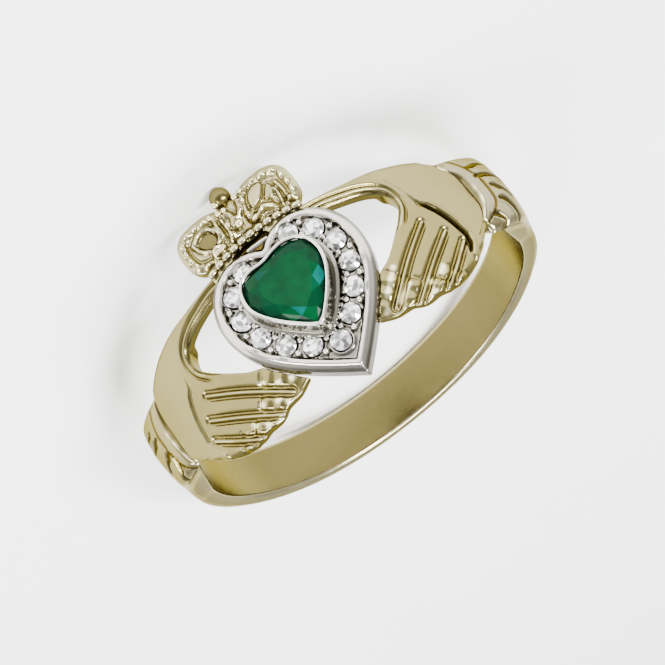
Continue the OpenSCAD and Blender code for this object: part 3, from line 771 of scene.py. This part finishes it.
setting_axes = axes_of((-3.65, -5.25, 9.5), (3.65, 2.65, 11.65), HEAD_STEP)
setting = heart_field(*np.meshgrid(*setting_axes, indexing="ij"))
grains = []
between = along_outline(MELEE_INSET, TIP_BACK + MELEE_PITCH * 0.5, MELEE_PITCH, MELEE_SIDE + 1)
for px, py in between:
    around_x, around_y = np.array([[0.05, -0.05, 0, 0], [0, 0, 0.05, -0.05]])
    off = sample(halo_map, head_axes, px + around_x, py + around_y)
    out = np.array([off[0] - off[1], off[2] - off[3]])
    out /= np.linalg.norm(out) + 1e-9
    for reach in (0.27, -0.25):
        grains.append([*(np.array([px, py]) + out * reach), CHANNEL + 0.14])
spheres(setting, setting_axes, grains, 0.13, 0.03)
beads = [[*p, CHANNEL + 0.10] for p in along_outline(RING_SPAN - BEZEL_T - 0.2, 0.1, 0.26, 22)]
spheres(setting, setting_axes, beads, 0.10, 0.02)
heart_points, heart_quads = surface(setting, setting_axes)
heart_x, heart_y, heart_z = heart_points.T
to_edge = -sample(halo_map, head_axes, heart_x, heart_y)
# Painted shade on the halo's outer wall, on the channel's floor and on the bezel's wall, none at the very
# foot.
heart_tone_and_shade = 0.75 * smooth(HALO_RIM - 0.14, HALO_RIM - 0.3, heart_z) * smooth(0.3, 0.12, to_edge)
heart_tone_and_shade += 0.8 * smooth(0.5, 0.62, to_edge) * smooth(CHANNEL + 0.16, CHANNEL, heart_z)
heart_tone_and_shade += 0.45 * smooth(1.0, 1.3, to_edge) * smooth(BEZEL_TOP - 0.1, CHANNEL + 0.3, heart_z)
heart_tone_and_shade *= smooth(HALO_FOOT + 0.02, HALO_FOOT + 0.1, heart_z)
# painted shade at the foot of the bezel
bezel_foot_shade = 0.5 * smooth(1.0, 1.2, to_edge) * smooth(CHANNEL + 0.32, CHANNEL + 0.1, heart_z)
bezel_foot_shade *= smooth(CHANNEL - 0.3, CHANNEL - 0.1, heart_z)
metal_piece("heart_and_bezel", heart_points, heart_quads, white, HEAD_STEP,
            ["heart_setting"], heart_tone_and_shade, 0.6, bezel_foot_shade)


# Stones


def faceted(name, points, faces, look, replaces, tints_and_reflections):
    """A cut stone, flat on its faces, with a tint and a painted reflection for each face."""
    piece(name, points, faces, look, replaces, {"tint_and_reflection": ("FACE", tints_and_reflections)}, flat=True)


def cut_heart():
    """The heart stone: a table, a crown of facets, and a pavilion down to a point."""
    n = 11
    outline = curve(STONE_EDGE, True, 2)
    loop = np.vstack([outline, outline[:1]])
    lengths = np.concatenate([[0], np.cumsum(np.linalg.norm(np.diff(loop, axis=0), axis=1))])
    middle = np.array([0.02, -0.45])

    def ring(count, offset, share, height):
        at = (np.arange(count) + offset) / count * lengths[-1]
        p = np.stack([np.interp(at % lengths[-1], lengths, loop[:, k]) for k in range(2)], 1)
        return np.column_stack([middle + (p - middle) * share, np.full(count, height)])

    girdle_z = BEZEL_TOP - 0.16
    rings = [(n, 0, 0.66, 0.30), (n, 0.5, 0.86, 0.20), (2 * n, 0, 0.995, 0.0), (2 * n, 0, 0.995, -0.05),
             (n, 0.5, 0.30, -0.95)]
    points = np.vstack([ring(count, offset, share, girdle_z + z) for count, offset, share, z in rings]
                       + [[[*middle, girdle_z - 1.15]], [[*middle, girdle_z + 0.30]]])
    # where each ring starts: table, main facets, girdle above and below, keel, and the two middles
    t, m, g, w, k, tip, centre = 0, n, 2 * n, 4 * n, 6 * n, 7 * n, 7 * n + 1
    faces, tints_and_reflections = [], []
    rng = np.random.default_rng(7)

    def add(face, tint_and_reflection):
        """A facet, with a painted teal reflection to the lower right, along the foot and at the upper left.
        """
        faces.append(face)
        x, y = points[face].mean(0)[:2] - middle
        way = math.degrees(math.atan2(y, x))
        teal = 0.9 * bump(way, -30, 17) + 0.8 * bump(way, -108, 15) + 0.4 * bump(way, 128, 14)
        tints_and_reflections.append(min(tint_and_reflection + teal * (tint_and_reflection > 0.3), 1))

    for i in range(n):
        j = (i + 1) % n
        faces.append([t + i, centre, t + j])
        x, y = points[[t + i, t + j]].mean(0)[:2] - middle
        way = math.degrees(math.atan2(y, x))
        # painted reflection: the table is lighter to the lower right
        tints_and_reflections.append(0.52 + 0.1 * float(bump(way, -45, 40)) - 0.05 * rng.random())
        # painted shade: the crown's facets darken towards the girdle, the girdle's facets are near black
        # and the pavilion's are dark
        add([t + i, m + i, t + j], 0.38 + 0.06 * rng.random())
        add([t + j, m + i, g + 2 * j, m + j], 0.31 + 0.1 * rng.random())
        add([m + i, g + 2 * i, g + 2 * i + 1], 0.12 + 0.1 * rng.random())
        add([m + i, g + 2 * i + 1, g + (2 * i + 2) % (2 * n)], 0.12 + 0.1 * rng.random())
        for q in (0, 1):
            a, b = 2 * i + q, (2 * i + q + 1) % (2 * n)
            add([g + a, w + a, w + b, g + b], 0.05)
            add([w + a, k + i, w + b], 0.3)
        add([w + 2 * j, k + i, k + j], 0.3)
        add([k + i, tip, k + j], 0.3)
    return points, faces, tints_and_reflections


def facing_out(points, faces):
    """Turns each face of a closed, nearly round solid outward."""
    middle = np.mean(points, 0)
    turned = []
    for face in faces:
        p = points[list(face)]
        normal = sum(np.cross(p[i] - p[0], p[i + 1] - p[0]) for i in range(1, len(p) - 1))
        turned.append(list(face) if normal @ (p.mean(0) - middle) > 0 else list(face)[::-1])
    return turned


points, faces, tints_and_reflections = cut_heart()
faceted("green_heart", points, facing_out(points, faces), green, ["heart_stone"], tints_and_reflections)


def brilliant(radius):
    """A small round brilliant, its girdle at height nought."""
    n = 8
    a = np.arange(n) * 2 * np.pi / n
    b = a + np.pi / n
    g = np.arange(2 * n) * np.pi / n

    def ring(angles, share, height):
        heights = np.full(len(angles), height)
        return np.stack([share * np.cos(angles), share * np.sin(angles), heights], 1)

    points = np.vstack([ring(a, 0.56, 0.28), ring(b, 0.78, 0.17), ring(g, 1, 0.02), ring(g, 1, -0.02),
                        ring(a, 0.45, -0.45), [[0, 0, -0.8], [0, 0, 0.28]]]) * radius
    faces = [[i, (i + 1) % n, 7 * n + 1] for i in range(n)]
    for i in range(n):
        j = (i + 1) % n
        faces += [[i, n + i, j],
                  [j, n + i, 2 * n + 2 * j, n + j],
                  [n + i, 2 * n + 2 * i, 2 * n + 2 * i + 1],
                  [n + i, 2 * n + 2 * i + 1, 2 * n + (2 * i + 2) % (2 * n)],
                  [6 * n + i, 7 * n, 6 * n + j],
                  [4 * n + 2 * i, 4 * n + 2 * i + 1, 6 * n + i],
                  [4 * n + 2 * i + 1, 4 * n + (2 * i + 2) % (2 * n), 6 * n + j, 6 * n + i]]
        for q in (0, 1):
            c, d = 2 * i + q, (2 * i + q + 1) % (2 * n)
            faces.append([2 * n + c, 4 * n + c, 4 * n + d, 2 * n + d])
    return points, facing_out(points, faces)


stone_points, stone_faces = brilliant(MELEE_D / 2 * 0.91)
rng = np.random.default_rng(3)
for i, (px, py) in enumerate(melee):
    turn = rng.uniform(0, np.pi / 4)
    tip = rng.uniform(-0.12, 0.12, 2)
    c, s = math.cos(turn), math.sin(turn)
    p = stone_points @ np.array([[c, s, 0], [-s, c, 0], [0, 0, 1]])
    p = p + np.array([px, py, CHANNEL + 0.16]) + np.outer(p[:, 0] * tip[0] + p[:, 1] * tip[1], [0, 0, 1])
    # painted reflections: nearly half the facets dark, the rest bright, at random
    tints_and_reflections = np.where(rng.random(len(stone_faces)) < 0.45, rng.uniform(0.05, 0.5, len(stone_faces)),
                     rng.uniform(0.6, 1, len(stone_faces)))
    faceted("small_stone_%02d" % (i + 1), p, stone_faces, clear,
            ["halo_stone_%02d" % (i + 1)], tints_and_reflections)


# The crown


def oval(x, y, rx, ry, power, n=48):
    """An outline round a middle, squarer for a smaller power."""
    a = np.arange(n) * 2 * np.pi / n
    return np.stack([x + rx * np.sign(np.cos(a)) * np.abs(np.cos(a)) ** power,
                     y + ry * np.sign(np.sin(a)) * np.abs(np.sin(a)) ** power], 1)


CROWN_STEP = 0.035
crown_axes = axes_of((-3.1, 1.9, 9.6), (2.95, 5.5, 10.95), CROWN_STEP)
# Middle and half sizes of the two lobes, right and left
LOBES = [(1.42, 3.68, 1.28, 1.19), (-1.6, 3.68, 1.33, 1.14)]
# Raised lines of the crown's face as paths with a half width and a height
LINES = [
    ([(-2.2, 3.95), (-1.7, 4.3), (-1.2, 4.18), (-1.04, 3.5), (-1.56, 3.18), (-2.1, 3.5), (-2.2, 3.95)],
     0.08, 0.1),
    ([(-0.9, 4.2), (-0.98, 3.8), (-0.96, 3.45)], 0.11, 0.16),
    ([(-2.5, 4.05), (-2.58, 3.6), (-2.48, 3.2)], 0.08, 0.1),
    ([(-0.68, 4.0), (-0.66, 3.5), (-0.78, 3.0)], 0.08, 0.12),
    ([(0.5, 3.2), (0.8, 3.24), (1.02, 3.36), (1.3, 3.2), (1.4, 3.0)], 0.13, 0.2),
    ([(2.0, 3.9), (2.1, 3.4), (2.04, 2.9)], 0.08, 0.12),
    ([(1.84, 3.71), (1.81, 3.2), (1.7, 2.85)], 0.07, 0.12),
    ([(0.7, 2.84), (0.95, 2.94), (1.15, 2.84)], 0.12, 0.10),
    ([(-0.36, 4.25), (-0.2, 3.92), (-0.3, 3.6)], 0.12, 0.15),
    ([(0.3, 4.3), (0.2, 3.95), (-0.05, 3.75)], 0.1, 0.13),
    ([(0.36, 3.7), (0.28, 3.4), (0.34, 3.05)], 0.09, 0.12)]
# Panels as corners, with their rise over the face and the painted shade they add to its tone, below nought
# for a paler one
PANELS = [
    ([(-2.03, 3.9), (-1.66, 4.14), (-1.32, 4.06), (-1.18, 3.56), (-1.58, 3.34), (-1.94, 3.56)], -0.12, 0.9),
    ([(0.61, 3.96), (0.97, 4.38), (1.38, 4.44), (1.56, 4.2), (1.2, 3.72), (0.62, 3.5)], 0.13, 0.3),
    ([(1.34, 3.72), (1.69, 4.14), (1.82, 3.8), (1.64, 3.44), (1.24, 3.46)], 0.09, 0.6),
    ([(-1.6, 3.3), (-1.14, 3.24), (-1.06, 2.98), (-1.5, 2.86), (-1.88, 3.0)], 0.17, -0.2)]
BALL = np.array([-0.14, CROWN_TOP + 0.03, CROWN_BACK + 0.46])
# Beads between the lobes and over them, with their radii
MIDDLE_BEADS = [
    (-0.46, 4.72, 0.16), (0.04, 4.78, 0.16), (0.34, 4.48, 0.15), (0.66, 4.56, 0.13), (-0.6, 4.34, 0.14),
    (-0.32, 4.32, 0.13), (-0.15, 3.42, 0.2), (-0.98, 4.44, 0.12), (-0.56, 3.68, 0.14)]


def foot_line(x):
    """Where the crown's foot runs over the heart."""
    return CROWN_FOOT + 0.46 * (1 - (x / 2.6) ** 2)


def crown_field(x, y, z):
    """The crown's plate, without its ball and beads, as a field of distances."""
    fx, fy = x[:, :, 0], y[:, :, 0]
    lobes = [polygon_distance(oval(*lobe, 0.75), fx, fy) for lobe in LOBES]
    middle = polygon_distance(oval(-0.1, 3.75, 0.66, 1.14, 0.9), fx, fy)
    foot_y = fy - foot_line(fx)
    reach = 0.42 * (1 - smooth(-1.55, -1.15, fx) * smooth(0.75, 0.35, fx))
    foot = smax(smax(-foot_y - reach, foot_y - 0.7, 0.1), np.abs(fx + 0.06) - 2.34, 0.15)
    outline = smin(smin(lobes[0], lobes[1], 0.1), smin(middle, foot, 0.1), 0.12)
    # height of the face: domed lobes with raised rims, lines and sunk panels
    face = np.full(fx.shape, CROWN_FACE - 0.17)
    for (lx, ly, rx, ry), lobe in zip(LOBES, lobes):
        around = np.arctan2((fy - ly) / ry, (fx - lx) / rx)
        knobs = 0.13 + 0.06 * np.cos(15 * around)
        face = face + knobs * bump(lobe, -0.28, 0.13) - 0.05 * bump(lobe, -0.5, 0.06)
        face += 0.08 * np.sqrt(np.clip(-lobe, 0, 1))
    for path, half, height in LINES:
        d = path_distance(curve(path, False, 1), fx, fy)
        face = face + height * bump(d, 0, half) - 0.04 * bump(d, half * 1.8, half * 0.5)
    for corners, height, _ in PANELS:
        d = polygon_distance(curve(corners, True, 1), fx, fy)
        face = face + height * smooth(0.05, -0.07, d) - 0.04 * bump(d, 0.08, 0.045) * (height > 0)
    # the strip that carries the row of beads is lower, and parted from the lobes by a groove
    strip = smooth(0.36, 0.28, foot_y)
    face = face * (1 - strip) + (CROWN_FACE - 0.2) * strip - 0.09 * bump(foot_y, 0.38, 0.05)
    body = smax(outline[:, :, None], z - face[:, :, None], 0.10)
    # the web that closes the gap over the heart's cleft from below
    web = smax(np.abs(fx) - 1.3, smax(1.5 - fy, fy - 2.7, 0.1), 0.1)
    web = smax(web[:, :, None], np.abs(z - 9.78) - 0.05, 0.05)
    return smax(smin(body, web, 0.05), CROWN_BACK + 0.02 - z, 0.05)


crown_grid = np.meshgrid(*crown_axes, indexing="ij")
crown = crown_field(*crown_grid)
spheres(crown, crown_axes, [BALL], 0.45, 0.05)
foot_beads = []
for k in range(11):
    # each bead is three balls in a row, so it is a little longer than it is wide
    for shift in (-0.055, 0.0, 0.055):
        bx = (k - 5) * 0.43 + shift - 0.07
        foot_beads.append((bx, float(foot_line(bx)) + 0.15, CROWN_FACE - 0.09))
spheres(crown, crown_axes, foot_beads, 0.16, 0.01)
for bx, by, size in MIDDLE_BEADS:
    spheres(crown, crown_axes, [(bx, by, CROWN_FACE - 0.02)], size, 0.04)
crown = smax(crown, -sample(halo_map, head_axes, *crown_grid[:2]), 0.03)
crown_points, crown_quads = surface(crown, crown_axes)
crown_x, crown_y, crown_z = crown_points.T
# Painted shade on the crown's low parts, its walls and its ball, and by panel.
low = smooth(CROWN_FACE + 0.02, CROWN_FACE - 0.22, crown_z)
to_ball = np.linalg.norm(crown_points - BALL, axis=1)
crown_tone_and_shade = 0.15 * low + 0.9 * smooth(9.95, 9.85, crown_z) + 0.7 * smooth(0.5, 0.46, to_ball)
panel_distance = [polygon_distance(curve(corners, True, 1), crown_x, crown_y) for corners, _, _ in PANELS]
for distance, (_, _, add) in zip(panel_distance, PANELS):
    crown_tone_and_shade += add * smooth(0.05, -0.05, distance)
# painted shade on the web under the crown, over the heart's cleft
crown_gap_shade = 0.9 * smooth(9.9, 9.84, crown_z) * smooth(2.8, 2.7, crown_y)
# painted highlights on the raised tops, a fainter one over all but the lowest parts, and none on the ball
crown_painted_light = 0.6 * smooth(CROWN_FACE + 0.01, CROWN_FACE + 0.13, crown_z)
crown_painted_light = (0.26 * smooth(9.9, 10.1, crown_z) + crown_painted_light) * smooth(0.46, 0.5, to_ball)
# painted shade in the recess and a painted highlight on the wedge beside it
recess, wedge = panel_distance[0], panel_distance[3]
crown_painted_light = crown_painted_light - 0.3 * smooth(0.05, -0.05, recess) + 0.5 * smooth(0.0, -0.06, wedge)
metal_piece("crown_plate", crown_points, crown_quads, gold, CROWN_STEP, ["crown"],
            np.clip(crown_tone_and_shade, 0, 1), 1.4, crown_gap_shade, crown_painted_light)


# A small white bar across the gap at the heart's cleft


def capsule(name, start, end, radius, look):
    """A rounded bar between two points."""
    start, end = np.array(start, float), np.array(end, float)
    way = (end - start) / np.linalg.norm(end - start)
    side = np.cross(way, [0, 0, 1.0])
    side /= np.linalg.norm(side)
    up = np.cross(side, way)
    rows = []
    for t in np.linspace(0, 1, 15):
        a = np.pi * t
        at = start + (end - start) * smooth(0.3, 0.7, np.array(t))
        at -= way * radius * math.cos(a)
        r = max(radius * math.sin(a), 0.004)
        rows.append([at + r * (math.cos(b) * side + math.sin(b) * up)
                     for b in np.arange(16) * np.pi / 8])
    quads, ends = tube(len(rows), len(rows[0]))
    piece(name, np.concatenate(rows), quads.tolist() + ends, look)


capsule("cleft_bar", (-0.52, 2.2, 10.36), (0.3, 2.16, 10.36), 0.1, white)


# Floor, light and camera

bpy.ops.mesh.primitive_plane_add(size=1.2, location=(0, 0, cad_box[0][2]))
floor = bpy.context.object
floor.name = "floor"
floor_look, floor_tree, floor_shader = material("floor_look", 0.0, (0.86, 0.86, 0.855), 0.6)
floor_colors = ramp(floor_tree, noise(floor_tree, Scale=90.0, Detail=3.0), [
    (0.3, (0.90, 0.90, 0.895)), (0.7, (0.93, 0.93, 0.925))])
floor_tree.links.new(floor_colors.outputs["Color"], floor_shader.inputs["Base Color"])
floor.data.materials.append(floor_look)

world = bpy.data.worlds.new("studio")
bpy.context.scene.world = world
world.use_nodes = True
tree = world.node_tree
background = tree.nodes["Background"]
place = node(tree, "ShaderNodeTexCoord")
split = node(tree, "ShaderNodeSeparateXYZ")
tree.links.new(place.outputs["Generated"], split.inputs["Vector"])
sky = ramp(tree, split.outputs["Z"], [(0.0, (2.4, 2.38, 2.3)), (0.25, (1.9, 1.88, 1.8)),
                                      (0.55, (0.75, 0.74, 0.7)), (0.85, (1.7, 1.7, 1.7))])
tree.links.new(sky.outputs["Color"], background.inputs["Color"])
background.inputs["Strength"].default_value = 0.7


def light(name, place, target, size, power):
    """A soft lamp that looks at a target."""
    data = bpy.data.lights.new(name, "AREA")
    data.shape = "RECTANGLE"
    data.size, data.size_y = size
    data.energy = power
    made = bpy.data.objects.new(name, data)
    bpy.context.scene.collection.objects.link(made)
    made.location = place
    made.rotation_euler = (Vector(target) - Vector(place)).to_track_quat("-Z", "Y").to_euler()


light("key", (-0.10, -0.10, 0.16), (0, -0.004, 0), (0.09, 0.05), 1.1)
light("fill", (0.14, -0.06, 0.10), (0, -0.004, 0), (0.05, 0.09), 0.45)
light("top", (0.0, 0.06, 0.20), (0, 0, 0), (0.12, 0.06), 1.0)

# The camera's right, up and back in ring axes, and its distance in metres
CAMERA_TURN = np.array([[0.77662669, -0.58194669, -0.24122404],
                        [0.62942854, 0.73256917, 0.25915656],
                        [0.02589799, -0.3531012, 0.93522662]])
CAMERA_DISTANCE = 0.080
camera_data = bpy.data.cameras.new("camera")
camera = bpy.data.objects.new("camera", camera_data)
bpy.context.scene.collection.objects.link(camera)
bpy.context.scene.camera = camera
right, up, back = [Vector(v) for v in placed(CAMERA_TURN) * 1000]
view = Matrix((right, up, back)).transposed().to_4x4()
view.translation = back * CAMERA_DISTANCE
camera.matrix_world = view
camera_data.sensor_width = 36
camera_data.sensor_fit = "HORIZONTAL"
camera_data.lens = 97.02
camera_data.shift_x = -0.0331
camera_data.shift_y = 0.0278
camera_data.clip_start = 0.005
camera_data.clip_end = 10
